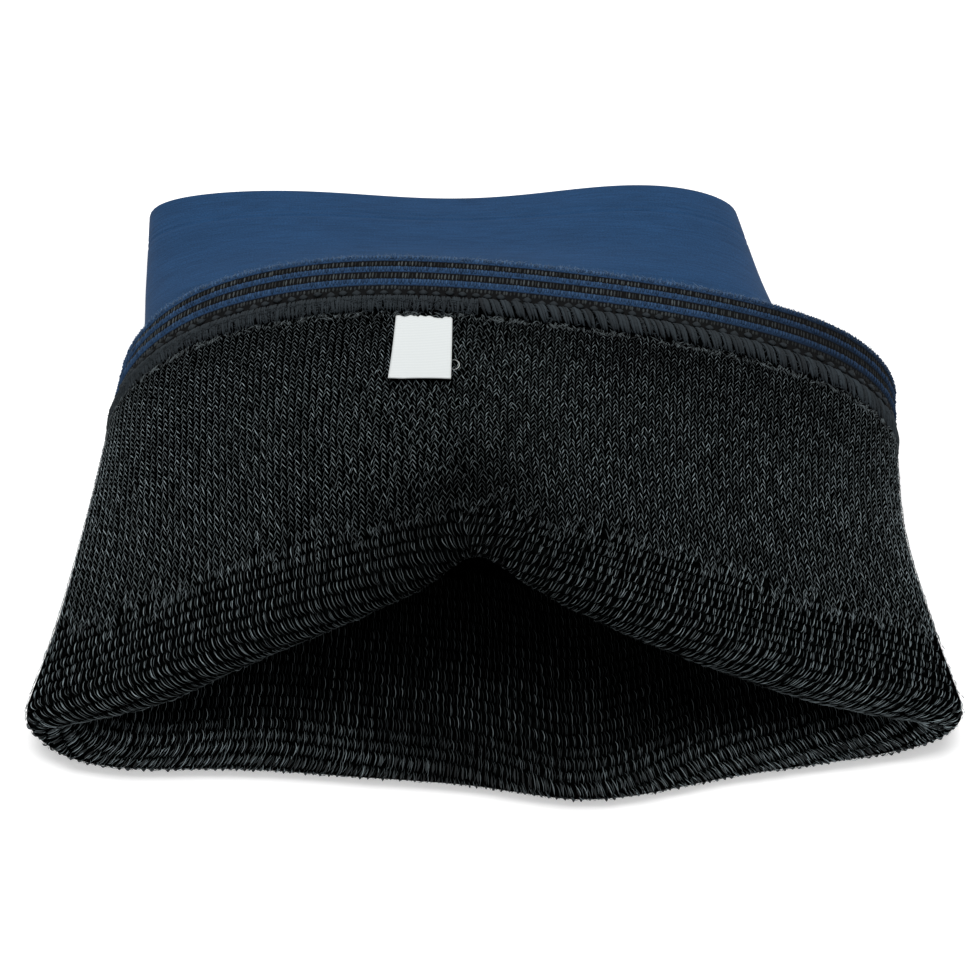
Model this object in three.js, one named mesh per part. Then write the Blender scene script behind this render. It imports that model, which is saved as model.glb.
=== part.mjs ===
// A knitted thigh compression sleeve, lying on a table with its wide end turned back as a cuff.
// Millimetres, +Z up. +Y runs from the open mouth to the narrow end.
// The origin is the centre of the part's footprint, on the table.
import * as THREE from "three";
import { ParametricGeometry } from "three/addons/geometries/ParametricGeometry.js";
import { mergeVertices } from "three/addons/utils/BufferGeometryUtils.js";

// The knit: one cloth with a navy face and a black face.
const WALL = 2.6;
const FIT_GAP = 0.4; // air left between pieces that are sewn together
const FOLD_SOFTNESS = 7; // smoothing passes that round the side folds of a section

// Facets: round the sleeve, along each layer, and round the turn at the mouth.
const AROUND = 60;
const TUBE_STEPS = 15;
const TURN_STEPS = 5;
const CUFF_STEPS = 9;
const CROWDING = 0.55; // how far the facets crowd together at the side folds, 0 to 1

// Sections of the cloth's mid-wall, a row for each place along the sleeve.
// left, right: x of the side folds. under, edge, top: heights of the lower layer, the side folds and the crest.
// nose: how far the upper layer stands above the side folds. crest: x of the highest point.
// sharp: 1 is a tent, 2 is round. full: 0.5 has full shoulders, 1.5 hollow ones.
// wave: how far the upper layer dips in its middle and rises on both sides of that.
const SECTION = ["y", "left", "right", "under", "edge", "nose", "top", "crest", "sharp", "full", "wave"];

// The tube, from the mouth to the narrow end.
const TUBE = [
  [-20, -101.0, 102.0, 5.2, 7.5, 2.4, 37.0, -2, 1.1, 1.6, 0],
  [0, -100.5, 101.5, 5.0, 7.5, 2.4, 39.0, -2, 1.1, 1.6, 0],
  [26, -98.5, 100.5, 4.6, 8.0, 3.0, 42.0, -2, 1.15, 1.5, 0],
  [60, -96.0, 96.5, 4.6, 9.0, 4.0, 42.5, -6, 1.6, 1.0, 0],
  [90, -94.5, 91.0, 6.2, 11.0, 5.0, 43.0, -18, 2.0, 0.7, 0],
  [118, -95.5, 85.0, 6.2, 11.0, 5.0, 40.0, -18, 2.2, 0.6, 0],
  [155, -100.0, 79.0, 1.3, 9.5, 6.0, 26.0, -5, 3.0, 0.6, 1.2],
  [192, -104.5, 75.5, 1.3, 8.5, 7.0, 16.8, 24, 3.0, 0.6, 2.1],
].map(named(SECTION));

// The turned-back cuff round it, from the mouth to the hem.
const CUFF = [
  [-20, -109.2, 111.2, 1.3, 7.5, 5.5, 46.0, -2, 1.15, 1.55, 0],
  [0, -108.5, 110.5, 1.3, 7.5, 5.5, 48.0, -2, 1.15, 1.55, 0],
  [26, -105.5, 107.5, 1.3, 8.0, 6.0, 49.5, -2, 1.2, 1.4, 0],
  [60, -102.5, 104.5, 1.3, 9.0, 7.0, 49.0, -8, 1.65, 0.9, 0],
  [88, -100.0, 106.0, 2.9, 10.0, 8.0, 50.0, -20, 2.1, 0.58, 0],
  [130, -98.0, 112.0, 2.9, 10.0, 9.0, 51.5, -26, 2.3, 0.48, 0],
].map(named(SECTION));

// The mouth's fold line and the hem: the y of each at some x, on the upper layer and on the lower one.
const EDGE = ["x", "upper", "lower"];
const MOUTH = [
  [-108, 7, 7],
  [-100, 4, 0],
  [-85, 4.5, -3],
  [-60, 11, -4],
  [-30, 16.5, -7.3],
  [-18, 19, -8.5],
  [-4, 25.5, -10],
  [8, 20, -12],
  [20, 15.7, -13.5],
  [60, 8.3, -5],
  [85, 5.3, 0],
  [100, 5, 3],
  [110, 6, 6],
].map(named(EDGE));
const HEM = [
  [-99, 111, 111],
  [-70, 114.8, 109],
  [-30, 116.2, 108.5],
  [30, 112.2, 108],
  [70, 109.3, 107],
  [95, 107.8, 106.5],
  [109, 106.5, 106.5],
].map(named(EDGE));
const TURN_REACH = 1.1; // how far the turn stands forward of the fold line, in half layer gaps
const REAR_Y = 192;

// The hem's striped welt, its overlocked seam and the label caught in that seam.
const WELT = { length: 15.7, thick: 3.4, ribs: 3, ribWidth: 4.15, ribHeight: 0.8, ribRound: 4 };
const SEAM = { width: 8, height: 2.1, pressed: 1, sides: 6 };
const LABEL = { width: 14, length: 22, thick: 0.5, x: -17, lift: 1.2 };

const OUTLINE_POINTS = 200;
const STATION_STEP = 2;

// Turns table rows into objects with a value for each column.
function named(columns) {
  return (values) => Object.fromEntries(columns.map((column, i) => [column, values[i]]));
}

// A table's row at any place: a monotone cubic through its rows, so that no value overshoots its neighbours.
// The first column is the place, and the rows are in its order.
function rowAt(rows, place) {
  const [along, ...names] = Object.keys(rows[0]);
  const last = rows.length - 1;
  const i = THREE.MathUtils.clamp(rows.findIndex((row) => row[along] > place) - 1, 0, last - 1);
  const k = place >= rows[last][along] ? last - 1 : i;
  const span = rows[k + 1][along] - rows[k][along];
  const t = THREE.MathUtils.clamp((place - rows[k][along]) / span, 0, 1);
  const made = { [along]: place };
  for (const name of names) {
    const rise = (n) => (rows[n + 1][name] - rows[n][name]) / (rows[n + 1][along] - rows[n][along]);
    const slope = (n) => {
      if (n === 0 || n === last) return rise(Math.min(n, last - 1));
      const [before, after] = [rise(n - 1), rise(n)];
      return before * after <= 0 ? 0 : (2 * before * after) / (before + after);
    };
    const [a, b] = [rows[k][name], rows[k + 1][name]];
    const [ma, mb] = [slope(k) * span, slope(k + 1) * span];
    made[name] =
      a + t * (ma + t * (3 * (b - a) - 2 * ma - mb + t * (ma + mb - 2 * (b - a))));
  }
  return made;
}

// The points of a closed outline, spaced by the given fractions of its length.
function respaced(points, fractions) {
  const along = [0];
  points.forEach((p, i) => along.push(along[i] + p.distanceTo(points[(i + 1) % points.length])));
  const total = along.at(-1);
  let k = 0;
  return fractions.map((f) => {
    while (k < points.length - 1 && along[k + 1] < f * total) k += 1;
    const t = (f * total - along[k]) / (along[k + 1] - along[k]);
    return points[k].clone().lerp(points[(k + 1) % points.length], t);
  });
}

const evenly = Array.from({ length: OUTLINE_POINTS }, (_, i) => i / OUTLINE_POINTS);
const crowded = Array.from({ length: AROUND }, (_, j) => {
  const f = j / AROUND;
  return f + (CROWDING / (4 * Math.PI)) * Math.sin(4 * Math.PI * f);
});

// A hump across a width: 1 at its crest, falling to 0 at left and right.
function bell(x, left, right, crest, sharp, full) {
  const side = x > crest ? right - crest : crest - left;
  const across = Math.min(1, Math.abs(x - crest) / side);
  return (1 - across ** sharp) ** full;
}

// One section's outline in (x, z), from the middle of the lower layer round by the right fold and the crest.
function outline({ left, right, under, edge, nose, top, crest, sharp, full, wave }) {
  const flatness = 8;
  const middle = (left + right) / 2;
  const half = (right - left) / 2;
  let points = evenly.map((f) => {
    const angle = 2 * Math.PI * (f - 0.25);
    const x = middle + half * Math.cos(angle);
    const across = THREE.MathUtils.clamp((x - middle) / half, -1, 1);
    const squareness = Math.sqrt(1 - across ** flatness);
    if (Math.sin(angle) <= 0) return new THREE.Vector2(x, edge - (edge - under) * squareness);
    const hump = (top - edge - nose) * bell(x, left, right, crest, sharp, full);
    const ripple = wave * Math.cos(1.5 * Math.PI * across) * (1 + 0.7 * across);
    return new THREE.Vector2(x, edge + nose * squareness + hump - ripple);
  });
  points = respaced(points, evenly);
  for (let pass = 0; pass < FOLD_SOFTNESS; pass += 1)
    points = points.map((p, i) => {
      const next = points[(i + 1) % points.length];
      const last = points[(i + points.length - 1) % points.length];
      return next.clone().add(last).addScaledVector(p, 2).multiplyScalar(0.25);
    });
  return respaced(points, crowded);
}

// A layer of cloth: a function that gives its point at facet j and any y.
function layer(rows) {
  const first = rows[0].y;
  const count = Math.ceil((rows.at(-1).y - first) / STATION_STEP);
  const stations = Array.from({ length: count + 1 }, (_, i) => outline(rowAt(rows, first + i * STATION_STEP)));
  return (j, y) => {
    const at = THREE.MathUtils.clamp((y - first) / STATION_STEP, 0, count - 1e-6);
    const i = Math.floor(at);
    const column = (j + AROUND) % AROUND;
    const p = stations[i][column].clone().lerp(stations[i + 1][column], at - i);
    return new THREE.Vector3(p.x, y, p.y);
  };
}

const tube = layer(TUBE);
const cuff = layer(CUFF);

// The y of the mouth's fold line or the hem at facet j.
function edgeY(j, edge) {
  const column = (j + AROUND) % AROUND;
  const isUpper = column > AROUND / 4 && column < (3 * AROUND) / 4;
  const { upper, lower } = rowAt(edge, cuff(column, edge[0].upper).x);
  return isUpper ? upper : lower;
}

const mouthY = (j) => edgeY(j, MOUTH);
const hemY = (j) => edgeY(j, HEM);

// The cuff's surface at a distance back from the hem: its place, and its outward normal.
function cuffFrame(j, fromHem) {
  const y = hemY(j) - fromHem;
  const along = cuff(j, y + 1).sub(cuff(j, y - 1));
  const across = cuff(j + 1, y).sub(cuff(j - 1, y));
  return { place: cuff(j, y), normal: along.cross(across).normalize() };
}

// A closed ring solid: rows of points that go round its cross-section, each row going round the sleeve.
function ringGeometry(rows) {
  const count = rows.length;
  const grid = new ParametricGeometry(
    (u, v, target) => target.copy(rows[Math.round(v * count) % count][Math.round(u * AROUND) % AROUND]),
    AROUND,
    count,
  );
  return closed(grid);
}

// The same geometry with its shared vertices merged and its normals remade.
function closed(geometry) {
  geometry.deleteAttribute("normal");
  geometry.deleteAttribute("uv");
  const merged = mergeVertices(geometry, 1e-3);
  merged.computeVertexNormals();
  return merged;
}

// The sleeve: its mid-wall runs from the narrow end to the mouth, turns, and comes back outside to the welt.
function sleeveRows() {
  const columns = Array.from({ length: AROUND }, (_, j) => {
    const mouth = mouthY(j);
    const end = hemY(j) - WELT.length - FIT_GAP;
    const path = [];
    for (let i = 0; i < TUBE_STEPS; i += 1) path.push(tube(j, REAR_Y + ((mouth - REAR_Y) * i) / TUBE_STEPS));
    const inside = tube(j, mouth);
    const outside = cuff(j, mouth);
    const middle = inside.clone().add(outside).multiplyScalar(0.5);
    const half = outside.clone().sub(inside).multiplyScalar(0.5);
    const reach = TURN_REACH * half.length();
    for (let i = 0; i <= TURN_STEPS; i += 1) {
      const angle = (Math.PI * i) / TURN_STEPS;
      const p = middle.clone().addScaledVector(half, -Math.cos(angle));
      p.y -= reach * Math.sin(angle);
      path.push(p);
    }
    for (let i = 1; i <= CUFF_STEPS; i += 1) path.push(cuff(j, mouth + ((end - mouth) * i) / CUFF_STEPS));
    return path;
  });
  const steps = columns[0].length;
  const at = (i, j) => columns[(j + AROUND) % AROUND][THREE.MathUtils.clamp(i, 0, steps - 1)];
  const face = (i, side) =>
    columns.map((_, j) => {
      const along = at(i + 1, j).clone().sub(at(i - 1, j));
      const across = at(i, j + 1).clone().sub(at(i, j - 1));
      return at(i, j).clone().addScaledVector(along.cross(across).normalize(), (side * WALL) / 2);
    });
  const navy = columns[0].map((_, i) => face(i, -1));
  const black = columns[0].map((_, i) => face(i, 1));
  return [...navy, ...black.reverse()];
}

// A ring that rides on the cuff: its profile holds [distance from the hem, height over the cuff's mid-wall].
function hemRing(profileAt) {
  const columns = crowded.map((_, j) =>
    profileAt(j).map(([fromHem, height]) => {
      const { place, normal } = cuffFrame(j, fromHem);
      return place.addScaledVector(normal, height);
    }),
  );
  return ringGeometry(columns[0].map((_, i) => columns.map((column) => column[i])));
}

// The welt's profile: a plain back on the tube's side, ribs along the outer face, a plain strip at the seam.
function weltProfile() {
  const outer = [];
  const low = WELT.thick - WALL / 2 - WELT.ribHeight;
  for (let i = 0; i <= WELT.ribs * WELT.ribRound; i += 1) {
    const rib = WELT.ribHeight * Math.abs(Math.sin((Math.PI * i) / WELT.ribRound));
    outer.push([(WELT.ribWidth * i) / WELT.ribRound, low + rib]);
  }
  return [[0, -WALL / 2], ...outer, [WELT.length, low], [WELT.length, -WALL / 2]];
}

// The overlocked seam: a half-round ridge of thread over the join, pressed flatter at the sides and underneath.
function seamProfile(j) {
  const middle = WELT.length + SEAM.width / 2 + FIT_GAP;
  const base = WALL / 2 + FIT_GAP;
  const upward = -Math.cos(2 * Math.PI * crowded[j]);
  const height = THREE.MathUtils.lerp(SEAM.pressed, SEAM.height, THREE.MathUtils.smoothstep(upward, 0, 0.7));
  return Array.from({ length: SEAM.sides + 1 }, (_, i) => {
    const angle = (Math.PI * i) / SEAM.sides;
    return [middle - (SEAM.width / 2) * Math.cos(angle), base + height * Math.sin(angle)];
  });
}

// The label: a strip bent to lie on the cuff from the seam towards the mouth, lifting at its free end.
function labelGeometry() {
  const strip = new THREE.BoxGeometry(LABEL.width, LABEL.length, LABEL.thick, 4, 6, 1);
  const start = WELT.length + SEAM.width + 2 * FIT_GAP;
  const facets = crowded.map((_, j) => j).slice(AROUND / 4, (3 * AROUND) / 4);
  const place = strip.attributes.position;
  const p = new THREE.Vector3();
  for (let i = 0; i < place.count; i += 1) {
    p.fromBufferAttribute(place, i);
    const down = LABEL.length / 2 - p.y;
    const x = LABEL.x + p.x;
    const frames = facets.map((j) => cuffFrame(j, start + down));
    const k = frames.findIndex((frame) => frame.place.x < x);
    const [a, b] = [frames[k - 1], frames[k]];
    const t = (a.place.x - x) / (a.place.x - b.place.x);
    const normal = a.normal.clone().lerp(b.normal, t).normalize();
    const height = WALL / 2 + FIT_GAP + LABEL.thick / 2 + LABEL.lift * (down / LABEL.length) ** 2 + p.z;
    a.place.clone().lerp(b.place, t).addScaledVector(normal, height).toArray(place.array, 3 * i);
  }
  return closed(strip);
}

const cloth = (colour, roughness) => new THREE.MeshStandardMaterial({ color: colour, roughness, metalness: 0 });

const part = new THREE.Group();
function add(name, geometry, material) {
  const mesh = new THREE.Mesh(geometry, material);
  mesh.name = name;
  part.add(mesh);
}

add("sleeve_body", ringGeometry(sleeveRows()), cloth(0x24303f, 0.9));
add("hem_welt", hemRing(weltProfile), cloth(0x2d496a, 0.9));
add("overlock_seam", hemRing(seamProfile), cloth(0x20252b, 0.85));
add("sewn_label", labelGeometry(), cloth(0xeaf2f3, 0.5));

// The footprint's centre becomes the origin.
const box = new THREE.Box3().setFromObject(part);
const centre = box.getCenter(new THREE.Vector3());
for (const mesh of part.children) mesh.position.set(-centre.x, -centre.y, -box.min.z);

export default part;
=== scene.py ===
# %% [markdown]
# # A knitted thigh sleeve with its wide end turned back
#
# The sleeve is one tube of stretchy knit with two faces: navy outside, black inside.
# It lies on a table. Its wide end is turned back over the outside as a cuff, so the black face shows there.
# The hem of that cuff carries a striped welt, an overlocked seam and a small white ribbon.
# Lengths are in millimetres while the cloth is laid out, and become metres when a mesh is made.

import bmesh
import bpy
import numpy as np
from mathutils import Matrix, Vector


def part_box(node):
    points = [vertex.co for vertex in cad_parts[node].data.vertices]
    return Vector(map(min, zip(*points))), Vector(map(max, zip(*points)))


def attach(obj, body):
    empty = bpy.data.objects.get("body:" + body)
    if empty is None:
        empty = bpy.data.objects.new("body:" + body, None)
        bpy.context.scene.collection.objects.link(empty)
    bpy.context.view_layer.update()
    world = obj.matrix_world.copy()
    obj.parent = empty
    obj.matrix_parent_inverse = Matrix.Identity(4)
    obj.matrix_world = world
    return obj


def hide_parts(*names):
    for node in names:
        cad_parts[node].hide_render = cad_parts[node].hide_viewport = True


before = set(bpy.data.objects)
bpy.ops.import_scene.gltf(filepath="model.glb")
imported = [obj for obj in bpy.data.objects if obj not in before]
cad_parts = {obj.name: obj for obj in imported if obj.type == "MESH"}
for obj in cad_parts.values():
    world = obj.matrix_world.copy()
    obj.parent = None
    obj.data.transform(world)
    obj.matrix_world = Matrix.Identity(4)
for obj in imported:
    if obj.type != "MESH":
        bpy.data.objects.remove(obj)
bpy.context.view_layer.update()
MM = 0.001
rng = np.random.default_rng(5)

# %% [markdown]
# ## The camera
#
# The photographer stood in front of the mouth and looked down at about 45 degrees.
# A camera that is aimed first makes every later picture comparable.
# The focal length follows from how fast the sides of the sleeve converge towards the back.

# %% Aim the camera
CAMERA_PLACE = (-1.1 * MM, -333.9 * MM, 329.6 * MM)
CAMERA_TILT = 45.0
FOCAL_LENGTH = 64.47
SENSOR_WIDTH = 36.0


def placed(name, data):
    """A new object in the scene."""
    thing = bpy.data.objects.new(name, data)
    bpy.context.scene.collection.objects.link(thing)
    return thing


lens = bpy.data.cameras.new("front_camera")
lens.lens = FOCAL_LENGTH
lens.sensor_width = SENSOR_WIDTH
camera = placed("front_camera", lens)
camera.location = CAMERA_PLACE
camera.rotation_euler = (np.radians(CAMERA_TILT), 0, 0)
bpy.context.scene.camera = camera
print("camera at", [round(v, 3) for v in camera.location])

# %% [markdown]
# ## Sections of the cloth
#
# A lying sleeve is soft, but its folds are wide and calm, so a few measured cross-sections describe it.
# Each row of a table is one section: where its side folds are, how high it stands and its hump's shape.
# A cloth simulation could find a similar shape, but it wouldn't come to rest in exactly these folds.

# %% Tables of the sections
COLUMNS = ("y", "left", "right", "under", "edge", "nose", "top", "crest", "sharp", "full", "wave")
TUBE = np.array([
    [-20, -101.0, 102.0, 5.2, 7.5, 2.4, 37.0, -2, 1.1, 1.6, 0],
    [0, -100.5, 101.5, 5.0, 7.5, 2.4, 39.0, -2, 1.1, 1.6, 0],
    [26, -98.5, 100.5, 4.6, 8.0, 3.0, 42.0, -2, 1.15, 1.5, 0],
    [60, -96.0, 96.5, 4.6, 9.0, 4.0, 42.5, -6, 1.6, 1.0, 0],
    [90, -94.5, 91.0, 6.2, 11.0, 5.0, 43.0, -18, 2.0, 0.7, 0],
    [118, -95.5, 85.0, 6.2, 11.0, 5.0, 40.0, -18, 2.2, 0.6, 0],
    [155, -100.0, 79.0, 1.3, 9.5, 6.0, 26.0, -5, 3.0, 0.6, 1.2],
    [192, -104.5, 75.5, 1.3, 8.5, 7.0, 16.8, 24, 3.0, 0.6, 2.1],
])
CUFF = np.array([
    [-20, -109.2, 111.2, 1.3, 7.5, 5.5, 46.0, -2, 1.15, 1.55, 0],
    [0, -108.5, 110.5, 1.3, 7.5, 5.5, 48.0, -2, 1.15, 1.55, 0],
    [26, -105.5, 107.5, 1.3, 8.0, 6.0, 49.5, -2, 1.2, 1.4, 0],
    [60, -102.5, 104.5, 1.3, 9.0, 7.0, 49.0, -8, 1.65, 0.9, 0],
    [88, -100.0, 106.0, 2.9, 10.0, 8.0, 50.0, -20, 2.1, 0.58, 0],
    [130, -98.0, 112.0, 2.9, 10.0, 9.0, 51.5, -26, 2.3, 0.48, 0],
])
print(len(TUBE), "sections of the tube and", len(CUFF), "of the cuff")

# %% [markdown]
# The tables are read between their rows with a monotone cubic, which never overshoots.
# A section's outline is then respaced, so that every knitted wale gets the same width of cloth.

# %% Read a section and draw its outline
GIRTH = 430.0
WALES = 244
WALE_WIDTH = GIRTH / WALES
OUTLINE_POINTS = 200
FOLD_SOFTNESS = 7
FLATNESS = 8
MIDDLE_Y = 60


def row_at(table, place):
    """A table's row at any place of its first column."""
    places = table[:, 0]
    rises = np.diff(table, axis=0) / np.diff(places)[:, None]
    before, after = rises[:-1], rises[1:]
    agree = before * after > 0
    inner = np.where(agree, 2 * before * after / np.where(agree, before + after, 1), 0)
    slopes = np.vstack([rises[:1], inner, rises[-1:]])
    k = int(np.clip(np.searchsorted(places, place, side="right") - 1, 0, len(places) - 2))
    span = places[k + 1] - places[k]
    t = np.clip((place - places[k]) / span, 0, 1)
    a, b = table[k], table[k + 1]
    start, end = slopes[k] * span, slopes[k + 1] * span
    return a + t * (start + t * (3 * (b - a) - 2 * start - end + t * (start + end - 2 * (b - a))))


def section_at(table, y):
    """The section at y, as a value for each column."""
    return dict(zip(COLUMNS, row_at(table, y)))


def swell(x, middle, width):
    """A soft swell: 1 at its middle, and next to nothing beyond twice its width."""
    return np.exp(-(((x - middle) / width) ** 2))


def bell(x, left, right, crest, sharp, full):
    """A hump across a width: 1 at its crest, falling to 0 at left and right."""
    side = np.where(x > crest, right - crest, crest - left)
    return (1 - np.minimum(1, np.abs(x - crest) / side) ** sharp) ** full


def respaced(points, count):
    """A closed outline, with its points evenly spaced."""
    around = np.vstack([points, points[:1]])
    along = np.concatenate([[0], np.cumsum(np.linalg.norm(np.diff(around, axis=0), axis=1))])
    at = np.arange(count) / count * along[-1]
    return np.column_stack([np.interp(at, along, around[:, c]) for c in (0, 1)])


def outline(row):
    """A section's (x, z) outline, from the middle of its lower layer round by the right fold."""
    middle, half = (row["left"] + row["right"]) / 2, (row["right"] - row["left"]) / 2
    angle = 2 * np.pi * (np.arange(OUTLINE_POINTS) / OUTLINE_POINTS - 0.25)
    x = middle + half * np.cos(angle)
    across = np.clip((x - middle) / half, -1, 1)
    squareness = np.sqrt(1 - across**FLATNESS)
    hump = bell(x, row["left"], row["right"], row["crest"], row["sharp"], row["full"])
    ripple = row["wave"] * np.cos(1.5 * np.pi * across) * (1 + 0.7 * across)
    upper = row["edge"] + row["nose"] * squareness - ripple
    upper = upper + (row["top"] - row["edge"] - row["nose"]) * hump
    lower = row["edge"] - (row["edge"] - row["under"]) * squareness
    points = respaced(np.column_stack([x, np.where(np.sin(angle) > 0, upper, lower)]), OUTLINE_POINTS)
    for _ in range(FOLD_SOFTNESS):
        points = (np.roll(points, 1, axis=0) + np.roll(points, -1, axis=0) + 2 * points) / 4
    return respaced(points, WALES)


middle_steps = np.diff(outline(section_at(CUFF, MIDDLE_Y)), axis=0)
print("girth of the cuff at its middle", round(np.linalg.norm(middle_steps, axis=1).sum()), "mm")

# %% [markdown]
# ## Two layers and two edges
#
# The tube and the cuff are two layers of the same cloth, one round the other.
# Each layer becomes a function that gives its point at any wale and any y.
# The mouth and the hem are curved lines across these layers. A short table gives each one's y at some x,
# first on the upper layer and then on the lower one.

# %% Layers, mouth and hem
STATION_STEP = 2.0
REAR_Y = 192.0
MOUTH = np.array([
    [-108, 7, 7],
    [-100, 4, 0],
    [-85, 4.5, -3],
    [-60, 11, -4],
    [-30, 16.5, -7.3],
    [-18, 19, -8.5],
    [-4, 25.5, -10],
    [8, 20, -12],
    [20, 15.7, -13.5],
    [60, 8.3, -5],
    [85, 5.3, 0],
    [100, 5, 3],
    [110, 6, 6],
])
HEM = np.array([
    [-99, 111, 111],
    [-70, 114.8, 109],
    [-30, 116.2, 108.5],
    [30, 112.2, 108],
    [70, 109.3, 107],
    [95, 107.8, 106.5],
    [109, 106.5, 106.5],
])
EASING = 4


def layer(table):
    """A function that gives a layer's points at any wales and any y."""
    places = np.arange(table[0, 0], table[-1, 0] + STATION_STEP, STATION_STEP)
    rings = np.array([outline(section_at(table, y)) for y in places])

    def at(wale, y):
        wale, y = np.broadcast_arrays(np.asarray(wale, float), np.asarray(y, float))
        station = np.clip((y - places[0]) / STATION_STEP, 0, len(places) - 1.001)
        row, column = station.astype(int), np.floor(wale).astype(int)
        down, side = (station - row)[..., None], (wale - column)[..., None]
        here, there = column % WALES, (column + 1) % WALES
        near = rings[row, here] * (1 - side) + rings[row, there] * side
        far = rings[row + 1, here] * (1 - side) + rings[row + 1, there] * side
        xz = near * (1 - down) + far * down
        return np.stack([xz[..., 0], y, xz[..., 1]], axis=-1)

    return at


def past_side(wale):
    """How many wales a place is past a side fold: below 0 on the upper layer, above 0 on the lower."""
    return abs(wale - WALES / 2) - WALES / 4


def edge_line(edge):
    """The y of an edge at every wale."""
    wale = np.arange(WALES)
    x = cuff(wale, edge[0, 1])[:, 0]
    rows = np.array([row_at(edge, place) for place in x])
    return np.where(past_side(wale) < 0, rows[:, 1], rows[:, 2])


def eased(line, passes):
    """A line round the sleeve with its corners rounded."""
    for _ in range(passes):
        line = (np.roll(line, 1) + np.roll(line, -1) + 2 * line) / 4
    return line


tube = layer(TUBE)
cuff = layer(CUFF)
mouth_line = eased(edge_line(MOUTH), EASING)
hem_line = eased(edge_line(HEM), EASING)
print("mouth from y", mouth_line.min().round(1), "to", mouth_line.max().round(1), "mm")

# %% [markdown]
# ## The way the cloth runs
#
# Follow one wale of the knit: it starts at the narrow end, runs through the tube to the mouth,
# turns over the fold and comes back along the outside to the welt.
# All wales together are a grid of points: its rows go round the sleeve and its columns are the wales.
# Two shallow lines of stitching hold the narrow end's own turned hem, so the rows are close together there.

# %% Lay the wales
WALL = 2.6
FIT_GAP = 0.4
WELT_LENGTH = 15.7
TURN_REACH = 1.1
REAR_HEM, REAR_ROW = 24, 0.8
TUBE_STEPS, TURN_STEPS, CUFF_STEPS = 36, 12, 30
GROOVES = ({"from_end": 14.0, "deep": 0.12, "wide": 0.7}, {"from_end": 17.0, "deep": 0.25, "wide": 0.7})


def between(start, end, steps):
    """Rows of y from one line to another, without the last."""
    return start + (end - start) * (np.arange(steps) / steps)[:, None]


wale = np.arange(WALES)
sleeve_end = hem_line - WELT_LENGTH - FIT_GAP
rear_rows = np.repeat((REAR_Y - np.arange(0, REAR_HEM, REAR_ROW))[:, None], WALES, axis=1)
tube_rows = np.vstack([rear_rows, between(REAR_Y - REAR_HEM, mouth_line, TUBE_STEPS)])
inside, outside = tube(wale, mouth_line), cuff(wale, mouth_line)
half_gap = (outside - inside) / 2
reach = TURN_REACH * np.linalg.norm(half_gap, axis=1)[:, None] * np.array([0, 1, 0])
angles = np.linspace(0, np.pi, TURN_STEPS + 1)[:, None, None]
turn = (inside + outside) / 2 - half_gap * np.cos(angles) - reach * np.sin(angles)
cuff_rows = between(mouth_line, sleeve_end, CUFF_STEPS)[1:]
path = np.concatenate([tube(wale, tube_rows), turn, cuff(wale, cuff_rows), cuff(wale, sleeve_end)[None]])


def black_normals(points):
    """Unit normals of a grid of rows round the sleeve, towards the black face."""
    along = np.gradient(points, axis=0)
    across = np.roll(points, -1, axis=1) - np.roll(points, 1, axis=1)
    normal = np.cross(along, across)
    return normal / np.linalg.norm(normal, axis=-1, keepdims=True)


for groove in GROOVES:
    from_end = REAR_Y - path[:, :, 1]
    dent = groove["deep"] * swell(from_end, groove["from_end"], groove["wide"])
    dent[len(tube_rows):] = 0
    path = path + black_normals(path) * dent[..., None]

normals = black_normals(path)
print("grid of", path.shape[0], "rows and", path.shape[1], "wales")

# %% [markdown]
# ## From a grid to a cloth
#
# Blender's own grid operator makes the flat cloth, and each corner then moves to its place in the air.
# The flat cloth's measures become the UV map, so that a knit pattern keeps its true size in every fold.
# Where the first and last columns meet, their doubles are merged and the tube is closed.

# %% A helper that lays a grid of cloth
cad_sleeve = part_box("sleeve_body")
black_side = path + normals * WALL / 2
navy_side = path - normals * WALL / 2
both_sides = np.concatenate([black_side, navy_side]).reshape(-1, 3)
own_middle = (both_sides.min(axis=0) + both_sides.max(axis=0)) / 2
SHIFT = (np.array(cad_sleeve[0] + cad_sleeve[1]) / 2 / MM - own_middle) * (1, 1, 0)


def measured(points):
    """How far each point of a grid lies round the sleeve and along it, in millimetres."""
    sideways = np.linalg.norm(np.diff(points, axis=1), axis=2).mean(axis=0)
    lengthways = np.linalg.norm(np.diff(points, axis=0), axis=2).mean(axis=1)
    around = np.concatenate([[0], np.cumsum(sideways)])
    along = np.concatenate([[0], np.cumsum(lengthways)])
    return np.stack(np.meshgrid(around, along), axis=-1)


def lay_cloth(name, points, stripe_and_shade=0.0):
    """A mesh object from a grid of points in millimetres, with its measures in metres as UVs."""
    rows, columns = points.shape[:2]
    bm = bmesh.new()
    cloth_uv = bm.loops.layers.uv.new("cloth")
    stripe_and_shade_layer = bm.verts.layers.float.new("stripe_and_shade")
    bmesh.ops.create_grid(bm, x_segments=columns - 1, y_segments=rows - 1, size=1)
    bm.verts.index_update()
    measures = measured(points).reshape(-1, 2) * MM
    for face in bm.faces:
        for corner in face.loops:
            corner[cloth_uv].uv = measures[corner.vert.index]
    places = (points + SHIFT).reshape(-1, 3) * MM
    stripe_and_shade_values = np.broadcast_to(stripe_and_shade, (rows, columns)).ravel()
    for vert in bm.verts:
        vert.co = places[vert.index]
        vert[stripe_and_shade_layer] = stripe_and_shade_values[vert.index]
    bmesh.ops.remove_doubles(bm, verts=bm.verts, dist=0.01 * MM)
    mesh = bpy.data.meshes.new(name)
    bm.to_mesh(mesh)
    bm.free()
    mesh.shade_smooth()
    return placed(name, mesh)


def closed_round(points):
    """The grid with its first column repeated at its end."""
    return np.concatenate([points, points[:, :1]], axis=1)


print("shift into the frame", SHIFT.round(3), "mm")

# %% [markdown]
# ## The sleeve
#
# The cloth is laid as its mid-wall, and Solidify gives it the thickness of a knit of this kind, 2.6 mm.
# The modifier's first shell keeps the navy material and its second takes the black one.
# A small bevel rounds the cut edge at the narrow end.

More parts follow.
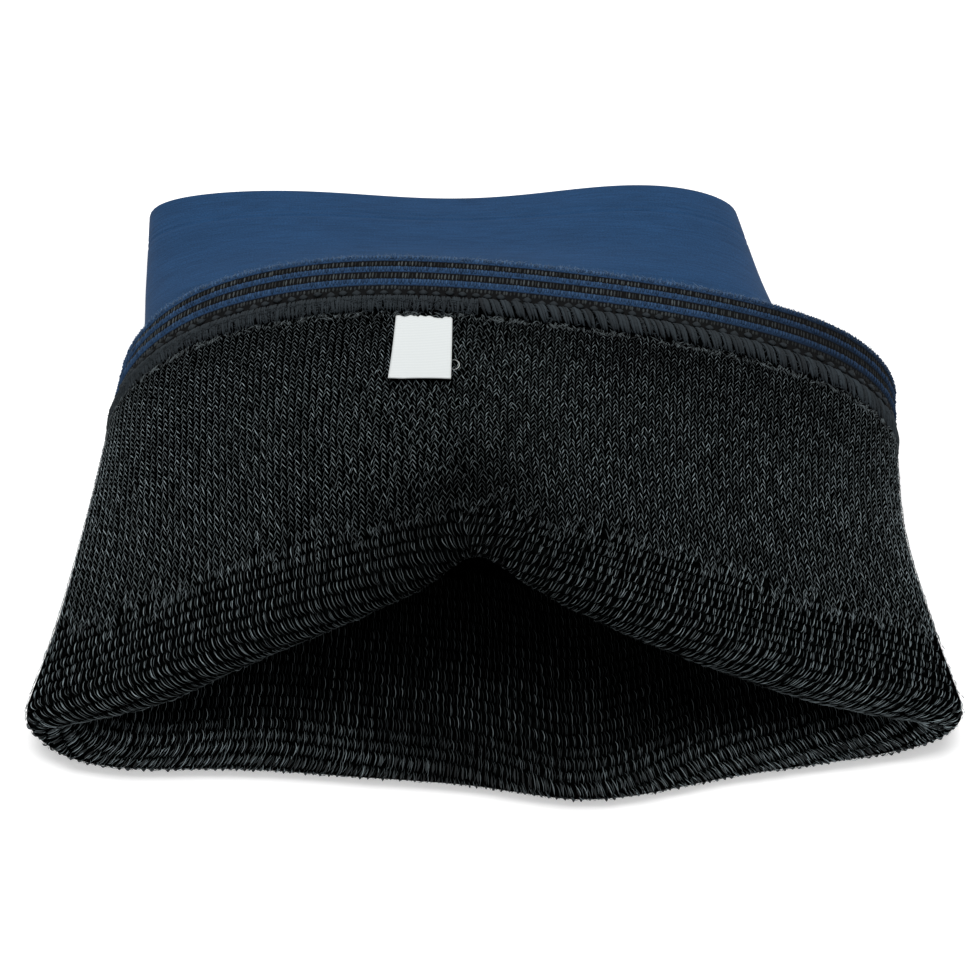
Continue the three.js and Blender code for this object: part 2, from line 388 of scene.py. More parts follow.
# %% Make the sleeve
RIM_RADIUS, RIM_ANGLE = 0.8, 60
sleeve = lay_cloth("sleeve_cloth", closed_round(path))
thickness = sleeve.modifiers.new("two_faces", "SOLIDIFY")
thickness.thickness = WALL * MM
thickness.offset = 0
thickness.material_offset = 1
thickness.material_offset_rim = 0
softened = sleeve.modifiers.new("soft_rim", "BEVEL")
softened.width = RIM_RADIUS * MM
softened.segments = 3
softened.limit_method = "ANGLE"
softened.angle_limit = np.radians(RIM_ANGLE)

# %% [markdown]
# ## Knitted loops
#
# On the black face every loop of yarn shows its two legs, and the head of the loop lies behind.
# A bump map would flatten them at the fold and along the outline, so each leg is a real bent piece of yarn.
# A sphere of few faces gives the strand, and numpy bends a copy of it along each leg.
# Its poles close the ends.

# %% A helper that bends copies of a spindle along paths
def spindle(sides, steps):
    """A sphere of few faces on its pole: its points, the step of each point, and its faces."""
    bm = bmesh.new()
    bmesh.ops.create_uvsphere(bm, u_segments=sides, v_segments=steps, radius=1)
    points = np.array([vert.co for vert in bm.verts])
    bm.verts.index_update()
    faces = [[vert.index for vert in face.verts] for face in bm.faces]
    bm.free()
    return points, np.rint(np.arccos(np.clip(points[:, 2], -1, 1)) / np.pi * steps).astype(int), faces


def strands(name, paths, outward, widths, heights, tones, sides=4):
    """One object of many strands.

    paths and outward are [strand, step, xyz]. The rest have a value for each strand, and tones can have
    one for each of its steps.
    """
    points, step, faces = spindle(sides, paths.shape[1] - 1)
    forward = np.gradient(paths, axis=1)
    side = np.cross(forward, outward)
    side /= np.linalg.norm(side, axis=-1, keepdims=True)
    up = np.cross(side, forward)
    up /= np.linalg.norm(up, axis=-1, keepdims=True)
    reach = side[:, step] * (points[:, 0] * widths[:, None])[..., None]
    rise = up[:, step] * (points[:, 1] * heights[:, None])[..., None]
    places = (paths[:, step] + reach + rise + SHIFT) * MM
    places[..., 2] = np.maximum(places[..., 2], 0)
    first = (np.arange(len(paths)) * len(points))[:, None]
    all_faces = []
    for count in (3, 4):
        some = np.array([face for face in faces if len(face) == count], int).reshape(-1, count)
        all_faces += (first[:, :, None] + some).reshape(-1, count).tolist()
    mesh = bpy.data.meshes.new(name)
    mesh.from_pydata(places.reshape(-1, 3), [], all_faces)
    tone = mesh.attributes.new("tone", "FLOAT", "POINT")
    point_tones = np.repeat(tones[:, None], len(points), axis=1) if tones.ndim == 1 else tones[:, step]
    tone.data.foreach_set("value", point_tones.ravel())
    mesh.shade_smooth()
    return placed(name, mesh)


def triangles(piece):
    """How many triangles a piece has before its modifiers."""
    return sum(len(face.vertices) - 2 for face in piece.data.polygons)


print("a strand of three sides and five steps has", len(spindle(3, 5)[2]), "faces")

# %% [markdown]
# The courses, the rows of loops, lie parallel to the hem, close together at first and then wider apart.
# Within about 30 mm of the fold, and half of that at its crest, the knit is pulled open:
# the legs are longer, dark gaps show between the courses, and one leg of each pair stands forward.

# %% Places of the loops
FIRST_COURSE, FIRST_PITCH, LAST_PITCH = 7.0, 1.25, 1.6
OPEN_COURSE = 3.3
OPEN_WITHIN, OPEN_SPREAD, PEAK_CLOSES = 29.0, 2.5, 14.0
CREST_X, CREST_WIDTH = -5.0, 32.0
INSIDE_FLOOR, INSIDE_ROOF = 62.0, 22.0
MARGIN = 6.0

from_hem = np.zeros(path.shape[:2])
lengths = np.linalg.norm(np.diff(black_side, axis=0), axis=2)
from_hem[:-1] = np.cumsum(lengths[::-1], axis=0)[::-1]
fold_row = len(tube_rows) + TURN_STEPS // 2
fold_at = from_hem[fold_row]


def along_wales(field, distances):
    """A field of the grid at distances from the hem, as [course, wale, xyz]."""
    columns = [
        np.column_stack([np.interp(distances, from_hem[::-1, j], field[::-1, j, c]) for c in range(3)])
        for j in range(WALES)
    ]
    return np.stack(columns, axis=1)


first_open = fold_at.min() - OPEN_WITHIN - MARGIN
last_close = fold_at.max() - OPEN_WITHIN + PEAK_CLOSES + MARGIN
mean_pitch = (FIRST_PITCH + LAST_PITCH) / 2
pitches = np.linspace(FIRST_PITCH, LAST_PITCH, int((last_close - FIRST_COURSE) / mean_pitch))
close_courses = FIRST_COURSE + np.concatenate([[0], np.cumsum(pitches)])
open_courses = np.arange(first_open, fold_at.max() + INSIDE_FLOOR, OPEN_COURSE)
at_peak = swell(black_side[fold_row, :, 0], CREST_X, CREST_WIDTH)
open_edge = OPEN_WITHIN - PEAK_CLOSES * at_peak + rng.normal(0, OPEN_SPREAD, WALES)
print(len(close_courses), "close courses and", len(open_courses), "open ones")

# %% [markdown]
# Some stitches nobody can see, so they are left out: under the cuff, deep in the tube and under the label.
# Every leg of a stitch is a short bent strand. A table of its shape has a row for each point:
# how many wales aside, how many courses along towards the fold, how high over the cloth,
# and how much of the strand's own tone shows there, mostly less towards its ends as painted shade where it
# sinks into the cloth.

# %% Helpers that choose and bend the stitches
LABEL = {"width": 14.0, "length": 22.0, "thick": 0.5, "x": -16.5, "lift": 1.2}
SEAM_WIDTH = 8.0
SIDE_INSET, DOWNWARD = 4, -0.3
NARROWER, WIDER, LENGTH_SPREAD = -0.5, 0.4, 0.2
PLACE_JITTER, POINT_JITTER = 0.1, 0.03
THIN_YARN, THICK_YARN = 0.65, 1.25
DARK_BIAS = 1.8


def hidden(place, normal, distances):
    """Stitches that nothing can show."""
    depth = distances[:, None] - fold_at
    upper = past_side(wale) < -SIDE_INSET
    deep = np.where(upper, depth > INSIDE_ROOF, depth > INSIDE_FLOOR)
    underneath = (normal[..., 2] < DOWNWARD) & (depth < -MARGIN) & ~upper
    covered = (abs(place[..., 0] - LABEL["x"]) < LABEL["width"] / 2 - 0.3) & upper
    covered &= distances[:, None] < SEAM_WIDTH + FIT_GAP + LABEL["length"] - 1
    return deep | underneath | covered


def zone(distances):
    """The places of some courses, which of them can be seen, and how far each is from the fold."""
    place, normal = along_wales(black_side, distances), along_wales(normals, distances)
    return place, ~hidden(place, normal, distances), fold_at - distances[:, None]


def bent(distances, chosen, shape, loose):
    """Paths of one shape at the chosen places of some courses, and the outward direction along them."""
    place, pitch = along_wales(black_side, distances), np.gradient(distances)
    across = ((np.roll(place, -1, axis=1) - np.roll(place, 1, axis=1)) / 2)[chosen]
    place, count = place[chosen], int(chosen.sum())
    wider = 1 + loose * rng.uniform(NARROWER, WIDER, (count, 1))
    longer = 1 + loose * rng.uniform(-LENGTH_SPREAD, LENGTH_SPREAD, (count, 1))
    paths, outward = [], []
    for aside, along, rise, _ in shape:
        normal = along_wales(normals, distances + along * pitch)[chosen]
        normal /= np.linalg.norm(normal, axis=-1, keepdims=True)
        there = along_wales(black_side, distances + along * pitch)[chosen]
        paths.append(place + longer * (there - place) + wider * aside * across + rise * normal)
        outward.append(normal)
    paths = np.stack(paths, axis=1) + loose * rng.normal(0, PLACE_JITTER, (count, 1, 3))
    return paths + rng.normal(0, POINT_JITTER, paths.shape), np.stack(outward, axis=1)


def uneven(dark, bright, stitches):
    """A random tone for each stitch, more often dark than bright."""
    return dark + (bright - dark) * rng.uniform(0, 1, stitches.shape) ** DARK_BIAS


def knit(name, distances, parts, loose=1.0):
    """One object of stitches. Each part is a shape, the stitches that show it, its yarn and their tones.

    Loose stitches vary more in form and place.
    """
    paths, outward, widths, tones = [], [], [], []
    for shape, chosen, yarn, tone in parts:
        part_paths, part_outward = bent(distances, chosen, shape, loose)
        paths.append(part_paths)
        outward.append(part_outward)
        widths.append(yarn * rng.uniform(THIN_YARN, THICK_YARN, len(part_paths)))
        # The shape's last column darkens the ends of each leg: painted shade where it sinks into the cloth.
        tones.append(tone[chosen][:, None] * np.array(shape)[:, 3])
    paths, outward, widths, tones = (np.concatenate(field) for field in (paths, outward, widths, tones))
    return strands(name, paths, outward, widths, widths, tones, sides=3)


print("a wale is", round(WALE_WIDTH, 2), "mm wide")

# %% [markdown]
# In the close knit the wales on the left show an upright stem with a slanted dash across to the next stem.
# Lower down only every second dash stands out, so the holes between them are diamonds.
# On the right both legs of each stitch show as a chevron, and the one that leans right is the brighter.
# The tones carry painted shade beside the seam, above all at its right end, towards the open knit and over
# the crest.

# %% Stitches of the close knit
STEM = (
    (0.5, -0.65, 0.0, 0.6), (0.38, -0.3, 0.12, 1), (0.5, 0.0, 0.12, 0.8),
    (0.62, 0.3, 0.12, 1), (0.5, 0.65, 0.0, 0.6),
)
DASH = (
    (0.44, -0.8, 0.0, 0.4), (0.28, -0.4, 0.22, 1), (0.08, 0.0, 0.26, 1),
    (-0.1, 0.4, 0.22, 0.9), (-0.28, 0.8, 0.0, 0.4),
)
LONG_DASH = (
    (0.46, -1.2, 0.0, 0.4), (0.3, -0.6, 0.24, 1), (0.08, 0.0, 0.28, 1),
    (-0.14, 0.6, 0.24, 0.9), (-0.36, 1.2, 0.0, 0.4),
)
LEFT_LEG = (
    (0.5, -0.75, 0.0, 0.4), (0.4, -0.35, 0.2, 1), (0.28, 0.0, 0.25, 1),
    (0.16, 0.35, 0.2, 0.9), (0.02, 0.75, 0.0, 0.4),
)
RIGHT_LEG = (
    (-0.5, -0.75, 0.0, 0.4), (-0.4, -0.35, 0.22, 1), (-0.28, 0.0, 0.28, 1),
    (-0.16, 0.35, 0.22, 0.9), (-0.02, 0.75, 0.0, 0.4),
)
STEM_YARN, LEG_YARN = 0.085, 0.1
LATTICE_X, DIAMOND_X, DIAMOND_WITHIN = -15.0, -50.0, 62.0
SHADE_LENGTH, END_SHADE_LENGTH = 12.0, 42.0
SHADED_FROM_X, SHADED_WITHIN = 15.0, 70.0
CREST_SHADE_AT, CREST_SHADE_WIDTH = 18.0, 14.0
LEFT_LOOSE, RIGHT_LOOSE = 0.45, 0.6

close_place, seen, to_fold = zone(close_courses)
is_close = seen & (to_fold > open_edge - 0.9 * OPEN_COURSE)
lean = close_place[..., 0] + rng.normal(0, 12, is_close.shape)
is_lattice = lean < LATTICE_X
is_diamond = (lean < DIAMOND_X) & (to_fold < DIAMOND_WITHIN + rng.normal(0, 6, is_close.shape))
every_second = (np.arange(len(close_courses))[:, None] + wale) % 2 == 0

# Painted shade: these factors darken the tones of the close knit beside the seam, towards the open knit and
# over the crest.
at_end = np.clip((close_place[..., 0] - SHADED_FROM_X) / SHADED_WITHIN, 0, 1)
seam_shade = SHADE_LENGTH + (END_SHADE_LENGTH - SHADE_LENGTH) * at_end
beside_seam = np.clip((close_courses[:, None] - SEAM_WIDTH) / seam_shade, 0, 1)
over_crest = swell(close_place[..., 0], CREST_X, CREST_WIDTH) * swell(to_fold, CREST_SHADE_AT, CREST_SHADE_WIDTH)
beside_open = np.clip((to_fold - open_edge) / SHADE_LENGTH, 0, 1)
shade = (0.5 + 0.5 * beside_seam) * (0.75 + 0.25 * beside_open) * (1 - 0.68 * over_crest)


def close_knit(name, half, loose):
    """The stitches of one half of the close knit."""
    chosen = is_close & half
    return knit(name, close_courses, (
        (STEM, chosen & is_lattice, STEM_YARN, shade * uneven(0.25, 0.7, chosen)),
        (DASH, chosen & is_lattice & ~is_diamond, LEG_YARN, shade * uneven(0.2, 1.0, chosen)),
        (LONG_DASH, chosen & is_diamond & every_second, LEG_YARN, shade * uneven(0.3, 1.0, chosen)),
        (DASH, chosen & is_diamond & ~every_second, STEM_YARN, shade * uneven(0.05, 0.4, chosen)),
        (LEFT_LEG, chosen & ~is_lattice, LEG_YARN, shade * uneven(0.1, 0.85, chosen)),
        (RIGHT_LEG, chosen & ~is_lattice, LEG_YARN, shade * uneven(0.15, 0.95, chosen)),
    ), loose)


left_loops = close_knit("cuff_loops_left", close_place[..., 0] < 0, LEFT_LOOSE)
right_loops = close_knit("cuff_loops_right", close_place[..., 0] >= 0, RIGHT_LOOSE)
for piece in (left_loops, right_loops):
    print(piece.name, "has", triangles(piece), "triangles")

# %% [markdown]
# In the open knit one leg of each loop stands forward as a hook that links to the next wale's hook below.
# On the left the hooks run down and then step to the right.
# On the right the courses lie closer, each half a wale aside of the next, and the hooks lean to the left.
# Inside the mouth they bow to the right, and on its lower lip shorter strands fill the gaps between them.
# On the fold every hook has a thin second filament, and a low strand lies dark beside it; inside the mouth a
# dark copy lies beside each hook.
# The bright hook is a painted highlight on the yarn, and the dark strand beside it is the yarn's body in
# painted shade.
# The tones carry painted shade on stitches that turn over the fold, along the crest, towards the right
# inside the mouth and with the depth of the mouth, and a painted highlight on the lower lip.
# Along the lower lip thick dark knots stand out of the outline, one for each wale.

# %% Stitches of the open knit
LEFT_HOOK = (
    (0.2, -0.55, 0.0, 0.3), (0.18, -0.3, 0.2, 1), (0.15, -0.05, 0.24, 1),
    (0.08, 0.15, 0.22, 0.8), (-0.06, 0.35, 0.16, 0.5), (-0.26, 0.55, 0.0, 0.3),
)
RIGHT_HOOK = (
    (-0.36, -0.6, 0.0, 0.3), (-0.16, -0.36, 0.2, 0.9), (-0.06, -0.1, 0.26, 1),
    (0.04, 0.14, 0.24, 1), (0.18, 0.38, 0.16, 0.7), (0.44, 0.55, 0.0, 0.4),
)
INSIDE_HOOK = (
    (-0.26, 0.62, 0.0, 0.4), (-0.08, 0.4, 0.18, 1), (0.06, 0.15, 0.24, 1),
    (0.12, -0.12, 0.24, 1), (0.08, -0.38, 0.18, 0.8), (-0.02, -0.6, 0.0, 0.4),
)
LIP_STROKE = (
    (0.32, 0.4, 0.0, 0.5), (0.3, 0.24, 0.1, 1), (0.24, 0.08, 0.14, 1),
    (0.18, -0.08, 0.14, 1), (0.12, -0.24, 0.1, 0.9), (0.1, -0.4, 0.0, 0.5),
)
RIGHT_LOW = (
    (0.2, -0.45, 0.0, 0.4), (0.36, -0.3, 0.1, 1), (0.44, -0.1, 0.12, 1),
    (0.54, 0.1, 0.12, 1), (0.64, 0.3, 0.1, 1), (0.84, 0.45, 0.0, 0.4),
)
LIP_KNOT = (
    (0.0, -0.45, -0.1, 1), (0.0, -0.3, 0.1, 1), (0.0, -0.1, 0.2, 1),
    (0.0, 0.1, 0.2, 1), (0.0, 0.3, 0.1, 1), (0.0, 0.45, -0.1, 1),
)
HOOK_YARN, INSIDE_YARN, FILAMENT, LOW_YARN, KNOT_YARN = 0.074, 0.072, 0.045, 0.09, 0.34
LIP_WIDTH = 9.0
SHADE_DEPTH = 34.0
RIGHT_COURSE = 2.5
SIDE_WALES = 7
INSIDE_FROM = -3.0
RIGHT_SHADE_FROM, RIGHT_SHADE_WITHIN = 5.0, 35.0
is_upper = past_side(wale) < 0


def open_zone(distances):
    """Which stitches lie on the fold, inside the mouth and left of the crest.

    After these come the painted light and shade of their tones, that of the low strands, and their distance
    from the fold.
    """
    place, seen, to_fold = zone(distances)
    is_open = seen & (to_fold < open_edge)
    is_inside = (to_fold < INSIDE_FROM) | (past_side(wale) > SIDE_WALES)
    is_left = place[..., 0] < CREST_X
    # Painted shade darkens the hooks at the crest, on the fold, towards the right inside the mouth and with
    # depth; painted light lightens the low strands at the crest and brightens all strands on the lower lip.
    at_crest = swell(place[..., 0], CREST_X, CREST_WIDTH) * (abs(to_fold - 8) < 22)
    at_fold = swell(to_fold, -2, 4) * is_upper
    at_lip = swell(to_fold, -3, 8) * ~is_upper
    at_right = np.clip((place[..., 0] - RIGHT_SHADE_FROM) / RIGHT_SHADE_WITHIN, 0, 1)
    at_right *= (to_fold < INSIDE_FROM) * (1 - at_lip)
    depth_shade = (1 - 0.75 * at_right) / (1 + (np.clip(-to_fold, 0, None) / SHADE_DEPTH) ** 4)
    lit = (1 - 0.9 * at_crest) * (1 - 0.6 * at_fold) * (1 + 1.2 * at_lip) * depth_shade
    low = (1 + 0.3 * at_crest) * (1 + 2.5 * at_lip) * depth_shade
    return is_open & ~is_inside, is_open & is_inside, is_left, lit, low, to_fold


def moved(shape, wales):
    """A shape moved sideways by some wales."""
    return tuple((row[0] + wales, *row[1:]) for row in shape)


on_fold, inside, is_left, lit, low, to_fold = open_zone(open_courses)
on_lip = (on_fold | inside) & ~is_upper & (abs(to_fold - 1) < 5)
at_edge = inside & ~is_upper & (abs(to_fold + 3) < LIP_WIDTH)
on_left = on_fold & is_left
# The bright hooks carry a painted highlight, and the dark low strands beside them carry painted shade of the
# same yarn.
fold_hooks = knit("fold_hooks", open_courses, (
    (LEFT_HOOK, on_left, HOOK_YARN, lit * uneven(0.55, 1.5, lit)),
    (LEFT_HOOK, on_left, FILAMENT, lit * uneven(0.0, 1.0, lit)),
    (moved(LEFT_HOOK, -0.5), on_left, LOW_YARN, low * uneven(0.05, 0.3, lit)),
    (LIP_KNOT, on_lip, KNOT_YARN, uneven(0.0, 0.08, lit)),
))
inside_hooks = knit("inside_hooks", open_courses, (
    (INSIDE_HOOK, inside, INSIDE_YARN, lit * uneven(0.2, 1.1, lit)),
    (moved(INSIDE_HOOK, 0.5), inside, INSIDE_YARN, low * uneven(0.02, 0.13, lit)),
    (LIP_STROKE, at_edge, INSIDE_YARN, lit * uneven(0.05, 0.6, lit)),
    (moved(LIP_STROKE, 0.45), at_edge, INSIDE_YARN, lit * uneven(0.0, 0.4, lit)),
))
right_courses = np.arange(first_open, fold_at.max() + MARGIN, RIGHT_COURSE)
on_fold, _, is_left, lit, low, _ = open_zone(right_courses)
every_second = np.arange(len(right_courses))[:, None] % 2 == 0
right_parts = []
for wales, courses in ((0.0, every_second), (0.5, ~every_second)):
    chosen = on_fold & ~is_left & courses
    right_parts += [
        (moved(RIGHT_HOOK, wales), chosen, HOOK_YARN, lit * uneven(0.4, 1.4, lit)),
        (moved(RIGHT_HOOK, wales), chosen, FILAMENT, lit * uneven(0.0, 1.0, lit)),
        (moved(RIGHT_LOW, wales), chosen, LOW_YARN, low * uneven(0.15, 0.5, lit)),
    ]
right_hooks = knit("right_hooks", right_courses, right_parts)
for piece in (fold_hooks, inside_hooks, right_hooks):
    print(piece.name, "has", triangles(piece), "triangles")

# %% [markdown]
# ## The welt
#
# The hem ends in a band of navy ribs with courses of black yarn sunk between them.
# The ribs are rounded in the mesh, because they catch the light as rolls of cloth do.
# The band is a closed ring: its profile goes over the ribs, down at the seam and back along the tube.
# At the seam a short tongue reaches into the cuff's end, so no gap shows under the ridge.

# %% Make the welt
BAND_COLUMNS = ("start", "end", "is_black", "rise")
WELT_BANDS = (
    (0.0, 1.7, 0, 0.45),
    (1.7, 4.1, 1, 0.0),
    (4.1, 6.0, 0, 0.45),
    (6.0, 8.9, 1, 0.0),
    (8.9, 11.0, 0, 0.45),
    (11.0, WELT_LENGTH, 1, -0.2),
)
WELT_THICK, RIB_SINK = 3.4, 0.8
WELT_LOW = WELT_THICK - WALL / 2 - RIB_SINK
TONGUE = 0.8
BAND_POINTS = 8
DIM_FROM_X, DIM_WITHIN, DIM_STRIPE = 45.0, 45.0, 0.75


def on_cuff(wale, from_edge, height):
    """A point over the cuff's mid-wall at a distance from the hem's edge."""
    wale, from_edge, height = np.broadcast_arrays(wale, from_edge, height)
    around = np.arange(-4, WALES + 5)
    y = np.interp(wale, around, hem_line[around % WALES]) - from_edge
    along = cuff(wale, y + 1) - cuff(wale, y - 1)
    across = cuff(wale + 1, y) - cuff(wale - 1, y)
    normal = np.cross(along, across)
    normal /= np.linalg.norm(normal, axis=-1, keepdims=True)
    return cuff(wale, y) + normal * height[..., None]


def cuff_paths(wale, from_edge, height):
    """Paths over the cuff, and the outward direction along them."""
    paths = on_cuff(wale, from_edge, height)
    return paths, on_cuff(wale, from_edge, height + 1) - paths


profile, stripe_and_shade = [], []
for values in WELT_BANDS:
    band = dict(zip(BAND_COLUMNS, values))
    for t in (np.arange(BAND_POINTS) + 0.5) / BAND_POINTS:
        rise = band["rise"] * np.sqrt(np.sin(np.pi * t))
        profile.append((band["start"] + (band["end"] - band["start"]) * t, WELT_LOW + rise))
        stripe_and_shade.append(band["is_black"])
tongue = WELT_LENGTH + FIT_GAP + TONGUE
back = [
    (WELT_LENGTH, 1.0), (tongue, 1.0), (tongue, -1.0), (WELT_LENGTH, -WALL / 2),
    (8.0, -WALL / 2), (0.4, -WALL / 2), (0.0, -WALL / 4), (-0.1, 0.6),
]
profile = np.array(profile + back + profile[:1])
stripe_and_shade = np.array(stripe_and_shade + 4 * [1] + 5 * [0])[:, None]


def welt_top(from_edge):
    """How high the welt's face lies at a distance from its edge."""
    face = profile[:len(WELT_BANDS) * BAND_POINTS]
    return np.interp(from_edge, face[:, 0], face[:, 1])


def dim_end(wale):
    """How much painted shade darkens the welt at its right end."""
    return np.clip((on_cuff(wale, 0.0, 0.0)[..., 0] - DIM_FROM_X) / DIM_WITHIN, 0, 1)


# Painted shade: towards the right end the ribs are turned partly black.
stripe_and_shade = np.maximum(stripe_and_shade, DIM_STRIPE * dim_end(np.append(wale, 0)))
welt = lay_cloth("welt_ribs", closed_round(on_cuff(wale[None], profile[:, :1], profile[:, 1:])), stripe_and_shade)
print("welt of", len(welt.data.polygons), "faces")

# %% [markdown]
# The welt is knitted much finer than the cuff: its loops are about 0.9 mm apart, two for each wale.
# Navy loops lie side by side over the ribs and black ones fill the courses between them,
# so both become short spindles. The last course stands at the very edge, where the nap is rubbed up.

# %% Loops of the welt
LOOPS = 2 * WALES
LOOP_COLUMNS = ("from_edge", "length", "rise", "yarn", "dark", "bright")
NAVY_LOOPS = (
    (0.8, 1.8, 0.1, 0.42, 0.2, 0.8),
    (5.05, 2.1, 0.1, 0.42, 0.0, 0.5),
    (9.95, 2.3, 0.1, 0.42, 0.0, 0.5),
)
BLACK_LOOPS = (
    (2.9, 2.3, 0.1, 0.3, 0.0, 0.14),
    (7.45, 2.8, 0.1, 0.3, 0.0, 0.14),
    (12.0, 1.9, 0.0, 0.4, 0.0, 0.07),
)


def welt_loops(name, rows):
    """Rows of loops that lie on the welt."""
    t = np.linspace(-0.5, 0.5, 5)
    paths, outs, widths, tones = [], [], [], []
    for number, values in enumerate(rows):
        loop = dict(zip(LOOP_COLUMNS, values))
        at = (np.arange(LOOPS) + 0.5 * (number % 2))[:, None] / 2 + rng.normal(0, 0.08, (LOOPS, 1))
        down = loop["from_edge"] + loop["length"] * t[None] + rng.normal(0, 0.08, (LOOPS, 1))
        height = welt_top(down) + loop["rise"] + rng.normal(0, 0.04, (LOOPS, 1)) - 0.3 * (abs(t) > 0.4)
        loop_paths, loop_out = cuff_paths(at, down, height)
        paths.append(loop_paths)
        outs.append(loop_out)
        widths.append(loop["yarn"] * rng.uniform(0.85, 1.1, LOOPS))
        # The loops take painted shade towards the welt's right end.
        tones.append(rng.uniform(loop["dark"], loop["bright"], LOOPS) * (1 - dim_end(at[:, 0])))
    paths, outs, widths, tones = (np.concatenate(field) for field in (paths, outs, widths, tones))
    return strands(name, paths, outs, widths, 0.6 * widths, tones)


navy_loops = welt_loops("navy_loops", NAVY_LOOPS)
black_loops = welt_loops("black_loops", BLACK_LOOPS)
print(navy_loops.name, triangles(navy_loops), "and", black_loops.name, triangles(black_loops), "triangles")

# %% [markdown]
# Worn polyamide fluffs up, and the edge of the welt shows it as a pale fringe of loose fibres.
# Each fibre is a very thin spindle that leans away from the cloth in its own direction.

# %% Fluff along the hem
FIBRES = 5200
fibre_at = rng.uniform(0, WALES, (FIBRES, 1))
fibre_root = rng.uniform(-0.1, 1.6, (FIBRES, 1))
fibre_length = rng.uniform(0.3, 1.2, (FIBRES, 1))
t = np.linspace(0, 1, 4)
fibre_paths = on_cuff(
    fibre_at + rng.normal(0, 0.45, (FIBRES, 1)) * fibre_length * t,
    fibre_root - rng.uniform(-0.2, 0.9, (FIBRES, 1)) * fibre_length * t,
    welt_top(fibre_root) + rng.uniform(0.1, 0.8, (FIBRES, 1)) * fibre_length * t,
)
_, fibre_out = cuff_paths(fibre_at + 0 * t, fibre_root + 0 * t, 4.0)
fibre_radius = np.full(FIBRES, 0.035)
fibre_shade = rng.uniform(0, 1, FIBRES)
strands("hem_fluff", fibre_paths, fibre_out, fibre_radius, fibre_radius, fibre_shade, sides=3)
print(FIBRES, "fibres along the hem")

# %% [markdown]
# ## The overlocked seam
#
# An overlock machine wraps bulky thread round the joined edges, so the seam is a low ridge of strands.
# A plain ridge lies underneath and closes the gaps, and the wraps are spindles bent over it.
# At the right the wraps are thick slanted ropes; at the left the machine ran with a shorter stitch.

# %% Make the ridge
SEAM_HEIGHT, SEAM_PRESSED = 2.1, 1.0
RIDGE_WIDTH = 5.8
seam_start = WELT_LENGTH + FIT_GAP
seam_base = WALL / 2 + FIT_GAP


def seam_height(wale):
    """The ridge is full on top, and pressed flat at the sides and underneath."""
    t = np.clip(-np.cos(2 * np.pi * wale / WALES) / 0.7, 0, 1)
    return SEAM_PRESSED + (SEAM_HEIGHT - SEAM_PRESSED) * t * t * (3 - 2 * t)


arc = np.linspace(0, np.pi, 9)[:, None]
ridge_height = seam_base - 0.3 + (seam_height(wale)[None] - 0.7) * np.sin(arc)
ridge_back = seam_start + RIDGE_WIDTH / 2 - (RIDGE_WIDTH / 2 - 0.4) * np.cos(arc)
ridge_points = on_cuff(wale[None], ridge_back, ridge_height)
# The ridge takes the near-black ground, so the gaps between the wraps show painted shade.
ridge = lay_cloth("seam_ridge", closed_round(np.concatenate([ridge_points, ridge_points[:1]])))
print("ridge of", len(ridge.data.polygons), "faces")

# %% Wrap the ridge
ROPE_FROM_X = -3.0
ROPE_PITCH, FINE_PITCH = 2.8 / WALE_WIDTH, 0.5 / WALE_WIDTH


def has_ropes(at):
    """Whether the seam has ropes at these wales: on top, from the label to the right."""
    return (on_cuff(at, seam_start, 0.0)[:, 0] >= ROPE_FROM_X) & (past_side(at) < 0)


fine_at = np.arange(0, WALES - 0.2, FINE_PITCH)
fine_at = fine_at[~has_ropes(fine_at)]
rope_at = np.arange(0, WALES - 0.2, ROPE_PITCH)
rope_at = rope_at[has_ropes(rope_at)]
plies = np.concatenate([rope_at - 0.4, rope_at, rope_at + 0.4])
wrap_wale = np.concatenate([fine_at, plies]) + rng.normal(0, 0.05, len(fine_at) + len(plies))
is_rope = np.arange(len(wrap_wale)) >= len(fine_at)
slant = np.where(is_rope, rng.normal(-1.7, 0.15, len(wrap_wale)), rng.normal(-0.2, 0.45, len(wrap_wale)))
wrap_radius = np.where(is_rope, 0.52, 0.36) * rng.uniform(0.7, 1.3, len(wrap_wale))
wrap_tone = np.clip(rng.normal(0.45, np.where(is_rope, 0.25, 0.12), len(wrap_wale)), 0, 1)
middle_ply = np.concatenate([np.zeros(len(fine_at)), np.repeat([0, 0.25, 0], len(rope_at))])
t = np.linspace(0, 1, 8)
wrap_at = wrap_wale[:, None] + slant[:, None] * (t - 0.5)
wrap_end = RIDGE_WIDTH * rng.uniform(0.92, 1.12, (len(wrap_wale), 1))
wrap_back = seam_start - 0.3 + wrap_end * (0.5 - 0.5 * np.cos(np.pi * t))
wrap_high = (seam_height(wrap_wale) - 0.45 + middle_ply)[:, None] * np.sin(np.pi * t) + seam_base - 0.3
wrap_paths, wrap_out = cuff_paths(wrap_at, wrap_back, wrap_high)
strands("seam_wraps", wrap_paths, wrap_out, wrap_radius, wrap_radius, wrap_tone, sides=5)
print(len(fine_at), "fine wraps and", len(rope_at), "ropes over the seam")

# %% [markdown]
# Rubbing has felted the left part of the seam, so short fibres lie on its wraps in all directions.

